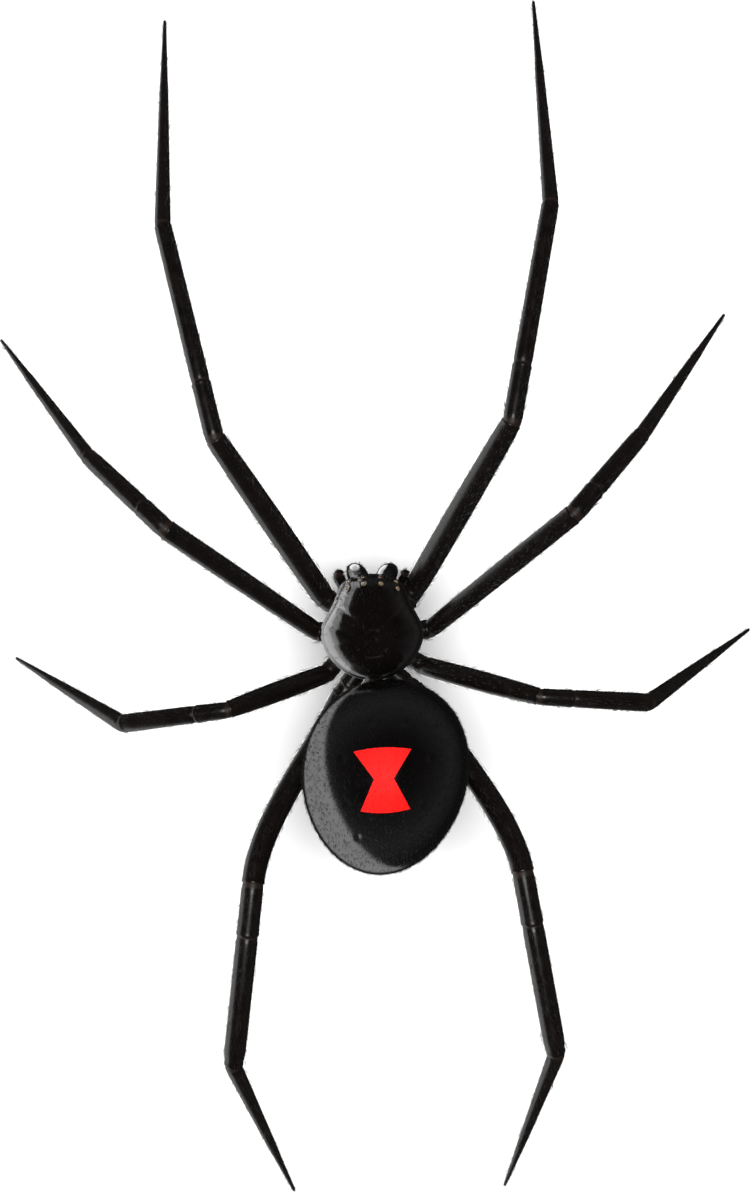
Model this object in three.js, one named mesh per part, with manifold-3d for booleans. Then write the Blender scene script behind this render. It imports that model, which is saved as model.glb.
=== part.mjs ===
// A black widow spider (Latrodectus mactans, adult female) at life size, as a still model that stands on
// its eight feet.
// Millimetres, +Z up. The head faces -Y and the animal's left side is +X. The floor is z = 0, and the
// origin lies on it, under the middle of the spread of the legs.
import * as THREE from "three";
import { mergeVertices } from "three/addons/utils/BufferGeometryUtils.js";
import Module from "manifold-3d";

const wasm = await Module();
wasm.setup();

// Driving dimensions. A body of 12 mm, from the front of the jaws to the tail end, sets all the others.
const GAP = 0.06; // clearance between neighbouring pieces
const HALF_GAP = GAP / 2;

// Cephalothorax: a pear, with a narrow, high and blunt head at the front and a wide, lower chest behind it.
const PROSOMA = {
  centre: [0.11, 1.15, 3.2],
  halfLength: 2.0,
  headHalfWidth: 1.32,
  chestHalfWidth: 1.95,
  topHeight: 1.1, // above the margin, at mid length
  topSlope: 0.26, // the head end is higher by this much, the rear lower
  headBluntness: 0.6, // 0 is a round head, 1 a square one, seen from the side
  depth: 0.74, // from the margin down to the breastplate
  pinch: 0.34, // the breastplate is narrower than the shield by this share
  pinchSpread: 0.25, // share of the depth over which it narrows
  pitDepth: 0.18, // the dent in the middle of the back of the shield
  pitPlace: 0.3,
  pitSpread: 0.24,
};

// Abdomen: a globe with its widest level above the middle, a little fuller at the front.
const ABDOMEN = {
  centre: [-0.38, 6.83, 5.25],
  lean: 0.2, // the tail end lies further to the left than the front end by twice this
  halfLength: 3.7,
  halfWidth: 3.13,
  frontFullness: 0.08,
  topHeight: 2.6,
  depth: 3.05,
  tilt: 0.3, // the tail end is lower than the front end by twice this
  sag: 0.7, // both ends are lower than the middle by this
};

// Eyes: two rows of four. Each place is a direction from the middle of the cephalothorax, on its unit egg.
const EYE_ROWS = {
  eye_front_middle: { radius: 0.12, place: [0.15, -0.9, 0.36] },
  eye_front_side: { radius: 0.11, place: [0.45, -0.83, 0.28] },
  eye_rear_middle: { radius: 0.115, place: [0.17, -0.8, 0.55] },
  eye_rear_side: { radius: 0.11, place: [0.54, -0.72, 0.43] },
};
const EYE_SINK = 0.35; // share of the radius that an eye's middle lies below the surface

// Jaws: upright, a little apart, each with a curved fang at its lower end.
const JAW = {
  top: [0.45, -0.55, 3.1],
  bottom: [0.7, -0.96, 2.0],
  topRadius: 0.37,
  bottomRadius: 0.29,
};
const FANG = { length: 0.62, radius: 0.15, tipRadius: 0.05, curl: 0.14 };

// Palps: short feelers beside the jaws, bent at their own knee.
const PALP = {
  places: [
    [0.95, -0.1, 2.55],
    [1.26, -0.68, 2.42],
    [1.28, -0.82, 1.95],
    [1.2, -0.88, 1.25],
  ],
  radii: [0.2, 0.21, 0.19, 0.12],
};

// Waist between the two halves of the body.
const PEDICEL = { from: [0.08, 2.85, 3.25], to: [-0.1, 4.3, 3.9], radius: 0.34 };

// Spinnerets: three pairs of cones round a low mound under the tail end.
const SPINNERETS = {
  place: [0, 0.78, -0.62],
  out: [0, 0.5, -0.87],
  moundRadius: 0.58,
  moundHeight: 0.26,
  ring: 0.28,
  coneRadius: 0.2,
  coneLength: 0.3,
};

// Hourglass marks, let into the abdomen as thin flush patches: one on the back, one on the belly.
const MARK_THICKNESS = 0.5;
const BACK_MARK = {
  centre: [-0.33, 6.84],
  turn: 0.05, // radians, about the vertical
  front: 1.06, // from the waist of the hourglass to the ends of its front edge
  rear: 1.18,
  frontHalf: 1.085,
  waistHalf: 0.373,
  rearHalf: 0.935,
};
const BELLY_MARK = {
  centre: [-0.38, 6.6],
  turn: 0,
  front: 1.05,
  rear: 1.15,
  frontHalf: 0.95,
  waistHalf: 0.3,
  rearHalf: 0.85,
};
const MARK_BULGE = 0.11; // how far the two short sides bow out

// Legs: the radii of each pair's segments, the share of the shin that is the patella, how far the thigh
// arches above the straight line from hip to knee, and how far it bows outwards.
const LEG_PAIRS = {
  1: {
    coxa: 0.44,
    femur: [0.45, 0.47, 0.41],
    tibia: [0.38, 0.34],
    foot: [0.32, 0.2],
    patella: 0.26,
    arch: 0.2,
    bow: 0,
  },
  2: {
    coxa: 0.41,
    femur: [0.36, 0.4, 0.4],
    tibia: [0.4, 0.35],
    foot: [0.31, 0.19],
    patella: 0.3,
    arch: 0.2,
    bow: 0,
  },
  3: {
    coxa: 0.38,
    femur: [0.38, 0.4, 0.34],
    tibia: [0.33, 0.37],
    foot: [0.34, 0.19],
    patella: 0.3,
    arch: 0.2,
    bow: 0,
  },
  4: {
    coxa: 0.4,
    femur: [0.4, 0.45, 0.44],
    tibia: [0.43, 0.42],
    foot: [0.34, 0.2],
    patella: 0.28,
    arch: -0.32,
    bow: 0.46,
  },
};
const TIP_RADIUS = 0.1;
const TARSUS_SHARE = 0.3; // of the last stretch, from ankle to toe
const SHIN_ARCH = 0.18;
const HEEL_RISE = 0.2;
const COXA_DROP = 0.42; // a coxa's root lies this far below the shield's margin

// Where each leg's joints are. Hips, knees and ankles have a height, and the toes stand on the floor.
const LEGS = [
  {
    name: "leg_1_left",
    pair: 1,
    root: [1.05, 0.72],
    hip: [1.95, 0.03, 2.95],
    knee: [6.02, -5.94, 7.2],
    ankle: [8.0, -13.97, 5.2],
    toe: [8.03, -21.9],
  },
  {
    name: "leg_1_right",
    pair: 1,
    root: [-0.85, 0.66],
    hip: [-1.52, -0.32, 2.95],
    knee: [-5.14, -6.55, 7.1],
    ankle: [-6.61, -14.8, 5.1],
    toe: [-6.04, -22.65],
  },
  {
    name: "leg_2_left",
    pair: 2,
    root: [1.15, 1.43],
    hip: [2.22, 1.35, 2.95],
    knee: [7.88, -2.52, 6.35],
    ankle: [10.84, -5.28, 4.6],
    toe: [14.25, -9.73],
  },
  {
    name: "leg_2_right",
    pair: 2,
    root: [-0.95, 1.4],
    hip: [-2.08, 1.26, 2.95],
    knee: [-7.49, -3.1, 6.4],
    ankle: [-10.08, -6.11, 4.7],
    toe: [-13.3, -10.7],
  },
  {
    name: "leg_3_left",
    pair: 3,
    root: [1.1, 2.1],
    hip: [1.84, 2.94, 2.95],
    knee: [5.56, 4.3, 5.25],
    ankle: [9.54, 4.83, 3.8],
    toe: [13.66, 2.4],
  },
  {
    name: "leg_3_right",
    pair: 3,
    root: [-0.9, 2.08],
    hip: [-1.84, 2.64, 2.95],
    knee: [-6.2, 3.8, 5.3],
    ankle: [-10.33, 4.03, 3.9],
    toe: [-14.24, 1.3],
  },
  {
    name: "leg_4_left",
    pair: 4,
    root: [0.62, 2.8],
    hip: [1.3, 3.8, 2.6],
    knee: [4.61, 10.92, 4.65],
    ankle: [5.36, 17.8, 3.4],
    toe: [3.1, 22.66],
  },
  {
    name: "leg_4_right",
    pair: 4,
    root: [-0.42, 2.75],
    hip: [-1.6, 3.65, 2.55],
    knee: [-5.59, 10.49, 4.55],
    ankle: [-6.86, 17.35, 3.4],
    toe: [-4.96, 22.46],
  },
];

const BODY_SIDES = 36;
const BODY_RINGS = 22;
const LIMB_SIDES = 11;
const FOOT_SIDES = 10;
const DOME_STEPS = 2;

const BLACK = new THREE.MeshStandardMaterial({ color: 0x0a0a0b, roughness: 0.18, metalness: 0 });
const LEG_BLACK = new THREE.MeshStandardMaterial({ color: 0x0c0b0b, roughness: 0.28, metalness: 0 });
const RED = new THREE.MeshStandardMaterial({ color: 0xe00d08, roughness: 0.3, metalness: 0 });
const EYE_GLASS = new THREE.MeshStandardMaterial({ color: 0x1a0f0a, roughness: 0.05, metalness: 0 });
const FANG_BROWN = new THREE.MeshStandardMaterial({ color: 0x2a0f08, roughness: 0.2, metalness: 0 });

const vec = (p) => new THREE.Vector3(p[0], p[1], p[2] ?? 0);

// A place given beside the middle of the cephalothorax, on its left side (+1) or its right (-1).
const sidePlace = (p, side) => new THREE.Vector3(PROSOMA.centre[0] + side * p.x, p.y, p.z);

// A closed solid from a geometry, whichever way its profile ran.
function solid(geometry) {
  const bare = new THREE.BufferGeometry().setAttribute("position", geometry.getAttribute("position"));
  if (geometry.index) bare.setIndex(geometry.index);
  const merged = mergeVertices(bare, 1e-4);
  const triVerts = new Uint32Array(merged.index.array);
  const vertProperties = new Float32Array(merged.attributes.position.array);
  const made = new wasm.Manifold(new wasm.Mesh({ numProp: 3, vertProperties, triVerts }));
  if (made.volume() > 0) return made;
  for (let i = 0; i < triVerts.length; i += 3)
    [triVerts[i + 1], triVerts[i + 2]] = [triVerts[i + 2], triVerts[i + 1]];
  return new wasm.Manifold(new wasm.Mesh({ numProp: 3, vertProperties, triVerts }));
}

// The largest closed surface of a solid, without scraps left by a cut.
function largest(made) {
  return made.decompose().sort((a, b) => b.volume() - a.volume())[0];
}

function mesh(name, made, material) {
  const { vertProperties, triVerts, numProp, numVert } = made.getMesh();
  const positions = new Float32Array(numVert * 3);
  for (let i = 0; i < numVert; i++) {
    const start = i * numProp;
    positions.set(vertProperties.subarray(start, start + 3), i * 3);
  }
  const geometry = new THREE.BufferGeometry();
  geometry.setAttribute("position", new THREE.BufferAttribute(positions, 3));
  geometry.setIndex(new THREE.BufferAttribute(triVerts, 1));
  geometry.computeVertexNormals();
  const made3d = new THREE.Mesh(geometry, material);
  made3d.name = name;
  return made3d;
}

// Keeps the side of the plane through a point that its normal points to, less half a gap.
function keepBeyond(made, point, normal) {
  return made.trimByPlane(normal.toArray(), normal.dot(point) + HALF_GAP);
}

// A sphere whose every point is moved by a shape function of its unit direction, and then outwards by grow.
// Its poles lie along Y.
function shapedSphere(shape, grow) {
  const sphere = new THREE.SphereGeometry(1, BODY_SIDES, BODY_RINGS);
  const bare = new THREE.BufferGeometry().setAttribute("position", sphere.getAttribute("position"));
  const geometry = mergeVertices(bare.setIndex(sphere.index), 1e-4);
  const places = geometry.getAttribute("position");
  for (let i = 0; i < places.count; i++)
    places.setXYZ(i, ...shape(places.getX(i), places.getY(i), places.getZ(i)));
  geometry.computeVertexNormals();
  const normals = geometry.getAttribute("normal");
  const p = new THREE.Vector3();
  const n = new THREE.Vector3();
  for (let i = 0; i < places.count; i++) {
    p.fromBufferAttribute(places, i).addScaledVector(n.fromBufferAttribute(normals, i), grow);
    places.setXYZ(i, p.x, p.y, p.z);
  }
  return solid(geometry);
}

// The point of the cephalothorax's surface in a unit direction.
function prosomaPoint(x, y, z) {
  const s = PROSOMA;
  const chest = THREE.MathUtils.smoothstep(y, -0.75, 0.2);
  const blunt = THREE.MathUtils.lerp(Math.sqrt(1 + y ** 2 + y ** 4), 1, chest);
  const halfWidth = THREE.MathUtils.lerp(s.headHalfWidth, s.chestHalfWidth, chest) * blunt;
  const pit = s.pitDepth * Math.exp(-((x * x + (y - s.pitPlace) ** 2) / s.pitSpread ** 2));
  const up = (s.topHeight - s.topSlope * y) * THREE.MathUtils.lerp(1, blunt, s.headBluntness) - pit;
  const under = 1 - s.pinch * (1 - Math.exp(Math.min(z, 0) / s.pinchSpread));
  return [
    s.centre[0] + x * halfWidth * under,
    s.centre[1] + y * s.halfLength,
    s.centre[2] + z * (z > 0 ? up : s.depth),
  ];
}

// The same for the abdomen.
function abdomenPoint(x, y, z) {
  const s = ABDOMEN;
  const level = s.centre[2] - s.tilt * y - s.sag * y * y;
  return [
    s.centre[0] + s.lean * y + x * s.halfWidth * (1 - s.frontFullness * y),
    s.centre[1] + y * s.halfLength,
    level + z * (z > 0 ? s.topHeight : s.depth),
  ];
}

const prosomaShell = (grow) => shapedSphere(prosomaPoint, grow);
const abdomenShell = (grow) => shapedSphere(abdomenPoint, grow);

// A round limb from one point to another. radiusAt gives its radius at each share of its length in shares,
// both ends are domes that reach past the points, and bendAt says how far each place is pushed aside.
function limb(from, to, shares, radiusAt, sides = LIMB_SIDES, bendAt = null) {
  const along = to.clone().sub(from);
  const length = along.length();
  along.normalize();
  const profile = [];
  const first = radiusAt(0);
  const last = radiusAt(1);
  for (let i = 0; i < DOME_STEPS; i++) {
    const angle = (i / DOME_STEPS) * (Math.PI / 2);
    profile.push(new THREE.Vector2(first * Math.sin(angle), -first * Math.cos(angle)));
  }
  for (const t of shares) profile.push(new THREE.Vector2(radiusAt(t), t * length));
  for (let i = DOME_STEPS - 1; i >= 0; i--) {
    const angle = (i / DOME_STEPS) * (Math.PI / 2);
    profile.push(new THREE.Vector2(last * Math.sin(angle), length + last * Math.cos(angle)));
  }
  const geometry = new THREE.LatheGeometry(profile, sides);
  geometry.applyQuaternion(new THREE.Quaternion().setFromUnitVectors(new THREE.Vector3(0, 1, 0), along));
  geometry.translate(from.x, from.y, from.z);
  if (bendAt === null) return solid(geometry);
  const places = geometry.getAttribute("position");
  const p = new THREE.Vector3();
  for (let i = 0; i < places.count; i++) {
    p.fromBufferAttribute(places, i);
    const t = THREE.MathUtils.clamp(p.clone().sub(from).dot(along) / length, 0, 1);
    p.add(bendAt(t));
    places.setXYZ(i, p.x, p.y, p.z);
  }
  return solid(geometry);
}

// Bumps of height 1 over a length of 1: highest at the middle, early at a third, or late at two thirds.
const midBump = (t) => 4 * t * (1 - t);
const earlyBump = (t) => 6.75 * t * (1 - t) ** 2;
const lateBump = (t) => 6.75 * t ** 2 * (1 - t);

// Shares of a length in equal steps, with any more given.
function steps(count, more = []) {
  const shares = Array.from({ length: count + 1 }, (_, i) => i / count);
  return [...shares, ...more].sort((a, b) => a - b);
}

const swelling = ([start, middle, end]) => (t) =>
  THREE.MathUtils.lerp(start, end, t) + (middle - (start + end) / 2) * Math.sin(Math.PI * t);
const taper = ([start, end]) => (t) => THREE.MathUtils.lerp(start, end, t);

// The plane that parts two limbs at their joint halves the angle between them.
function jointNormal(before, joint, after) {
  const inwards = joint.clone().sub(before).normalize();
  const onwards = after.clone().sub(joint).normalize();
  return inwards.add(onwards).normalize();
}

// One leg as five nodes, from the body to the toe, and the space round its coxa that others stay out of.
function makeLeg(leg, bodyShell) {
  const size = LEG_PAIRS[leg.pair];
  const root = vec([...leg.root, PROSOMA.centre[2] - COXA_DROP]);
  const [hip, knee, ankle] = [vec(leg.hip), vec(leg.knee), vec(leg.ankle)];
  const toe = vec([...leg.toe, TIP_RADIUS * 0.7]);
  const heel = ankle.clone().lerp(toe, 1 - TARSUS_SHARE);
  heel.z += HEEL_RISE;
  const side = Math.sign(leg.hip[0]);

  const atHip = jointNormal(root, hip, knee);
  const atKnee = jointNormal(hip, knee, ankle);
  const atAnkle = jointNormal(knee, ankle, heel);
  const atHeel = jointNormal(ankle, heel, toe);
  const before = (normal) => normal.clone().negate();

  const ringAt = 0.62; // the groove between coxa and trochanter
  const coxaShares = [0, 0.25, ringAt - 0.1, ringAt, ringAt + 0.1, 1];
  const coxaRadius = (t) =>
    size.coxa * (0.8 + 0.25 * Math.sin(Math.PI * t ** 0.8)) * (Math.abs(t - ringAt) < 0.02 ? 0.85 : 1);
  let coxa = limb(root, hip, coxaShares, coxaRadius);
  const coxaSpace = limb(root, hip, coxaShares, (t) => coxaRadius(t) + GAP);
  coxa = largest(keepBeyond(coxa.subtract(bodyShell), hip, before(atHip)));

  const archAt = leg.pair === 4 ? earlyBump : midBump;
  const thighBend = (t) => vec([side * size.bow * lateBump(t), 0, size.arch * archAt(t)]);
  let femur = limb(hip, knee, steps(6), swelling(size.femur), LIMB_SIDES, thighBend);
  femur = keepBeyond(keepBeyond(femur, hip, atHip), knee, before(atKnee));

  const shin = taper(size.tibia);
  const shinRadius = (t) => shin(t) * (Math.abs(t - size.patella) < 0.01 ? 0.82 : 1);
  const shinShares = [0, size.patella - 0.05, size.patella, size.patella + 0.05, 0.55, 0.78, 1];
  const shinBend = (t) => vec([0, 0, SHIN_ARCH * midBump(t)]);
  let tibia = limb(knee, ankle, shinShares, shinRadius, LIMB_SIDES, shinBend);
  tibia = keepBeyond(keepBeyond(tibia, knee, atKnee), ankle, before(atAnkle));

  let metatarsus = limb(ankle, heel, steps(3), taper(size.foot), FOOT_SIDES);
  metatarsus = keepBeyond(keepBeyond(metatarsus, ankle, atAnkle), heel, before(atHeel));

  let tarsus = limb(heel, toe, steps(2), taper([size.foot[1] * 0.95, TIP_RADIUS]), FOOT_SIDES);
  tarsus = keepBeyond(tarsus, heel, atHeel).trimByPlane([0, 0, 1], 0);

  const nodes = { coxa, femur, tibia, metatarsus, tarsus };
  return {
    meshes: Object.entries(nodes).map(([part, made]) => mesh(`${leg.name}_${part}`, made, LEG_BLACK)),
    coxaSpace,
  };
}

// An hourglass-shaped prism, standing upright over the body. grow widens it all round.
function hourglassPrism(mark, grow) {
  const [front, rear] = [-mark.front - grow, mark.rear + grow];
  const [a, b, c] = [mark.frontHalf + grow * 1.6, mark.waistHalf + grow, mark.rearHalf + grow * 1.6];
  const shape = new THREE.Shape();
  shape.moveTo(-a, front);
  shape.quadraticCurveTo(0, front - 2 * MARK_BULGE, a, front);
  shape.lineTo(b, 0);
  shape.lineTo(c, rear);
  shape.quadraticCurveTo(0, rear + 2 * MARK_BULGE, -c, rear);
  shape.lineTo(-b, 0);
  shape.closePath();
  const height = 10;
  const geometry = new THREE.ExtrudeGeometry(shape, { depth: height, bevelEnabled: false, curveSegments: 6 });
  geometry.rotateZ(mark.turn).translate(mark.centre[0], mark.centre[1], 0);
  return { geometry, height };
}

// The patch of skin under a mark, and the pocket that it lies in. side is +1 for the back, -1 for the belly.
function inlay(mark, side) {
  const place = ({ geometry, height }) => {
    geometry.translate(0, 0, ABDOMEN.centre[2] - (side < 0 ? height : 0));
    return solid(geometry);
  };
  const patch = abdomenShell(0).subtract(abdomenShell(-MARK_THICKNESS));
  const pocket = abdomenShell(1).subtract(abdomenShell(-MARK_THICKNESS - GAP));
  return {
    patch: largest(patch.intersect(place(hourglassPrism(mark, 0)))),
    pocket: pocket.intersect(place(hourglassPrism(mark, GAP))),
  };
}

function makeSpinnerets(abdomenGrown) {
  const s = SPINNERETS;
  const base = vec(abdomenPoint(...vec(s.place).normalize().toArray()));
  const out = vec(s.out).normalize();
  const across = new THREE.Vector3(1, 0, 0);
  const forward = out.clone().cross(across);
  const mound = limb(
    base.clone().addScaledVector(out, -s.moundRadius / 2),
    base.clone().addScaledVector(out, s.moundHeight / 2),
    steps(2),
    taper([s.moundRadius, s.moundRadius * 0.7]),
  );
  let made = mound;
  for (let i = 0; i < 6; i++) {
    const angle = ((i + 0.5) / 6) * 2 * Math.PI;
    const foot = base
      .clone()
      .addScaledVector(across, s.ring * Math.cos(angle))
      .addScaledVector(forward, s.ring * Math.sin(angle));
    const tip = foot.clone().lerp(base, 0.35).addScaledVector(out, s.moundHeight + s.coneLength);
    made = made.add(limb(foot, tip, steps(2), taper([s.coneRadius, s.coneRadius * 0.55]), 8));
  }
  return largest(made.subtract(abdomenGrown));
}

// A palp, clear of the body, the jaws and the first pair of legs.
function makePalp(side, others) {
  const places = PALP.places.map(([x, y, z]) => vec([x, y, z])).map((p) => sidePlace(p, side));
  let made = null;
  for (let i = 0; i + 1 < places.length; i++) {
    const piece = limb(places[i], places[i + 1], [0, 1], taper([PALP.radii[i], PALP.radii[i + 1]]), 8);
    made = made ? made.add(piece) : piece;
  }
  for (const other of others) made = made.subtract(other);
  return largest(made);
}

function makeJaw(side, bodyShell) {
  const [top, bottom] = [vec(JAW.top), vec(JAW.bottom)].map((p) => sidePlace(p, side));
  const down = bottom.clone().sub(top).normalize();
  const radiusAt = swelling([JAW.topRadius, JAW.topRadius * 1.02, JAW.bottomRadius]);
  const jaw = limb(top, bottom, steps(4), radiusAt);
  const space = limb(top, bottom, steps(4), (t) => radiusAt(t) + GAP);
  const seat = bottom.clone().addScaledVector(down, JAW.bottomRadius * 0.35);
  const inwards = new THREE.Vector3(-side, 0, 0);
  const tip = seat.clone();
  tip.addScaledVector(down, FANG.length * 0.8).addScaledVector(inwards, FANG.length * 0.42);
  const bend = (t) => inwards.clone().multiplyScalar(-FANG.curl * midBump(t));
  const fang = limb(seat, tip, steps(4), taper([FANG.radius, FANG.tipRadius]), 8, bend);
  return {
    jaw: largest(keepBeyond(jaw.subtract(bodyShell), seat, down.clone().negate())),
    fang: largest(keepBeyond(fang, seat, down)),
    space,
  };
}

// An eye and the socket round it.
function makeEye(radius, place) {
  const direction = vec(place).normalize();
  const surface = vec(prosomaPoint(...direction.toArray()));
  const middle = vec(PROSOMA.centre);
  const inwards = middle.clone().sub(surface).normalize();
  const centre = surface.addScaledVector(inwards, radius * EYE_SINK);
  const ball = (r) => solid(new THREE.SphereGeometry(r, 10, 7).translate(...centre.toArray()));
  return { eye: ball(radius), socket: ball(radius + HALF_GAP) };
}

function makeSpider() {
  const bodyShell = prosomaShell(GAP);
  const abdomenGrown = abdomenShell(GAP);
  const group = new THREE.Group();
  const sides = { left: 1, right: -1 };

  let prosoma = prosomaShell(0);
  for (const [row, { radius, place }] of Object.entries(EYE_ROWS)) {
    for (const [side, sign] of Object.entries(sides)) {
      const { eye, socket } = makeEye(radius, [sign * place[0], place[1], place[2]]);
      prosoma = prosoma.subtract(socket);
      group.add(mesh(`${row}_${side}`, eye, EYE_GLASS));
    }
  }
  group.add(mesh("cephalothorax", prosoma, BLACK));

  const legs = LEGS.map((leg) => makeLeg(leg, bodyShell));
  for (const { meshes } of legs) group.add(...meshes);

  const coxaSpaces = legs.map(({ coxaSpace }) => coxaSpace);
  for (const [side, sign] of Object.entries(sides)) {
    const { jaw, fang, space } = makeJaw(sign, bodyShell);
    group.add(mesh(`jaw_${side}`, jaw, BLACK));
    group.add(mesh(`fang_${side}`, fang, FANG_BROWN));
    group.add(mesh(`palp_${side}`, makePalp(sign, [bodyShell, space, ...coxaSpaces]), LEG_BLACK));
  }

  const back = inlay(BACK_MARK, 1);
  const belly = inlay(BELLY_MARK, -1);
  group.add(mesh("abdomen", largest(abdomenShell(0).subtract(back.pocket).subtract(belly.pocket)), BLACK));
  group.add(mesh("hourglass_back", back.patch, RED));
  group.add(mesh("hourglass_belly", belly.patch, RED));
  group.add(mesh("spinnerets", makeSpinnerets(abdomenGrown), LEG_BLACK));

  const stalk = limb(vec(PEDICEL.from), vec(PEDICEL.to), steps(3), () => PEDICEL.radius);
  group.add(mesh("waist", largest(stalk.subtract(bodyShell).subtract(abdomenGrown)), LEG_BLACK));

  const box = new THREE.Box3().setFromObject(group);
  const middle = box.getCenter(new THREE.Vector3());
  group.position.set(-middle.x, -middle.y, 0);
  return group;
}

export default makeSpider();
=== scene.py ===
import math

import bpy
import numpy as np
from mathutils import Matrix, Vector


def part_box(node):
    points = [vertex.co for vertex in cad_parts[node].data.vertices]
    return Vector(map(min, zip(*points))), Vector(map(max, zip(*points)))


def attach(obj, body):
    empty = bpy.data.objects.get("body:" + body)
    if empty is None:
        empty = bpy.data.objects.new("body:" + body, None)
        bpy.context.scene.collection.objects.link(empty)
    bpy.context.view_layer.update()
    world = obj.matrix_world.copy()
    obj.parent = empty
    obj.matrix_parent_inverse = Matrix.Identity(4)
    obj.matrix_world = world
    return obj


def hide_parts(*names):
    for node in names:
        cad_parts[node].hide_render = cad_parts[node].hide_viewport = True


# A black widow spider, standing on a pale floor and seen from straight above.
# Shapes are worked out in millimetres, in the solids' own plan, and go into the frame in metres.
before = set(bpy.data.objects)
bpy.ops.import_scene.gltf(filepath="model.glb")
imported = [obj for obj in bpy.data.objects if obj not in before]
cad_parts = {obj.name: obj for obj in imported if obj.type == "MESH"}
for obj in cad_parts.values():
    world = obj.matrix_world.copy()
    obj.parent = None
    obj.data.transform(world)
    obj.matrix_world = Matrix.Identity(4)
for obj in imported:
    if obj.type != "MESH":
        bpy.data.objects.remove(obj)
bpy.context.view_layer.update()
MM = 0.001

# Cephalothorax and abdomen: the same egg shapes as the solids.
PROSOMA = {
    "centre": (0.11, 1.15, 3.2),
    "half_length": 2.0,
    "head_half_width": 1.32,
    "chest_half_width": 1.95,
    "top_height": 1.1,
    "top_slope": 0.26,
    "head_bluntness": 0.6,
    "depth": 0.74,
    "pinch": 0.34,
    "pinch_spread": 0.25,
    "pit_depth": 0.18,
    "pit_place": 0.3,
    "pit_spread": 0.24,
}
ABDOMEN = {
    "centre": (-0.38, 6.83, 5.25),
    "lean": 0.2,
    "half_length": 3.7,
    "half_width": 3.13,
    "front_fullness": 0.08,
    "top_height": 2.6,
    "depth": 3.05,
    "tilt": 0.3,
    "sag": 0.7,
}

# Hourglass marks. A mark's sides run straight from its waist to the corners of its two bowed ends.
BACK_MARK = {
    "centre": (-0.33, 6.84),
    "turn": 0.05,
    "front": 1.06,
    "rear": 1.18,
    "front_half": 1.085,
    "waist_half": 0.373,
    "rear_half": 0.935,
}
BELLY_MARK = {
    "centre": (-0.38, 6.6),
    "turn": 0.0,
    "front": 1.05,
    "rear": 1.15,
    "front_half": 0.95,
    "waist_half": 0.3,
    "rear_half": 0.85,
}
MARK_BULGE = 0.11

JAW = {"top": (0.45, -0.55, 3.1), "bottom": (0.7, -0.96, 2.0), "radii": (0.37, 0.38, 0.29)}
FANG = {"length": 0.62, "radius": 0.15, "tip_radius": 0.03, "curl": 0.14}
PALP_PLACES = ((0.95, -0.1, 2.55), (1.26, -0.68, 2.42), (1.28, -0.82, 1.95), (1.2, -0.88, 1.25))
PALP_RADII = (0.2, 0.21, 0.19, 0.12)
PEDICEL = {"from": (0.08, 2.85, 3.25), "to": (-0.1, 4.3, 3.9), "radius": 0.34}

# Legs: radii along each pair's segments, the patella's share of the shin, and the thigh's arch and bow.
LEG_PAIRS = {
    1: {
        "coxa": 0.44,
        "femur": (0.45, 0.47, 0.41),
        "tibia": (0.38, 0.34),
        "foot": (0.32, 0.165),
        "patella": 0.26,
        "arch": 0.2,
        "bow": 0.0,
    },
    2: {
        "coxa": 0.41,
        "femur": (0.36, 0.4, 0.4),
        "tibia": (0.4, 0.35),
        "foot": (0.31, 0.16),
        "patella": 0.3,
        "arch": 0.2,
        "bow": 0.0,
    },
    3: {
        "coxa": 0.38,
        "femur": (0.38, 0.4, 0.34),
        "tibia": (0.33, 0.37),
        "foot": (0.34, 0.16),
        "patella": 0.3,
        "arch": 0.2,
        "bow": 0.0,
    },
    4: {
        "coxa": 0.4,
        "femur": (0.4, 0.45, 0.44),
        "tibia": (0.43, 0.42),
        "foot": (0.34, 0.165),
        "patella": 0.28,
        "arch": -0.32,
        "bow": 0.4,
    },
}
TIP_RADIUS = 0.06
TARSUS_SHARE = 0.3
SHIN_ARCH = 0.18
HEEL_RISE = 0.2
COXA_DROP = 0.42
TROCHANTER_SHARE = 0.62

# Joints: pair, root, hip, knee, ankle, toe. The toes stand on the floor.
LEGS = {
    "1_left": (1, (1.05, 0.72), (1.95, 0.03, 2.95), (6.02, -5.94, 7.2), (8.0, -13.97, 5.2), (8.03, -21.9)),
    "1_right": (1, (-0.85, 0.66), (-1.52, -0.32, 2.95), (-5.14, -6.55, 7.1), (-6.61, -14.8, 5.1), (-6.04, -22.65)),
    "2_left": (2, (1.15, 1.43), (2.22, 1.35, 2.95), (7.88, -2.52, 6.35), (10.84, -5.28, 4.6), (14.25, -9.73)),
    "2_right": (2, (-0.95, 1.4), (-2.08, 1.26, 2.95), (-7.49, -3.1, 6.4), (-10.08, -6.11, 4.7), (-13.3, -10.7)),
    "3_left": (3, (1.1, 2.1), (1.84, 2.94, 2.95), (5.56, 4.3, 5.25), (9.54, 4.83, 3.8), (13.66, 2.4)),
    "3_right": (3, (-0.9, 2.08), (-1.84, 2.64, 2.95), (-6.2, 3.8, 5.3), (-10.33, 4.03, 3.9), (-14.24, 1.3)),
    "4_left": (4, (0.62, 2.8), (1.3, 3.8, 2.6), (4.61, 10.92, 4.65), (5.36, 17.8, 3.4), (3.1, 22.66)),
    "4_right": (4, (-0.42, 2.75), (-1.6, 3.65, 2.55), (-5.59, 10.49, 4.55), (-6.86, 17.35, 3.4), (-4.96, 22.46)),
}
SIDES = {"left": 1, "right": -1}
UP = np.array((0.0, 0.0, 1.0))

# The solids stand a hair's breadth off their own plan, so that they're centred on the origin.
low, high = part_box("cephalothorax")
SHIFT = np.array((low + high) / 2) / MM - np.array(PROSOMA["centre"])
SHIFT[2] = 0.0


# Camera

CAMERA_HEIGHT = 380.0
VIEW_LENGTH = 45.5
SENSOR = 36.0


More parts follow.
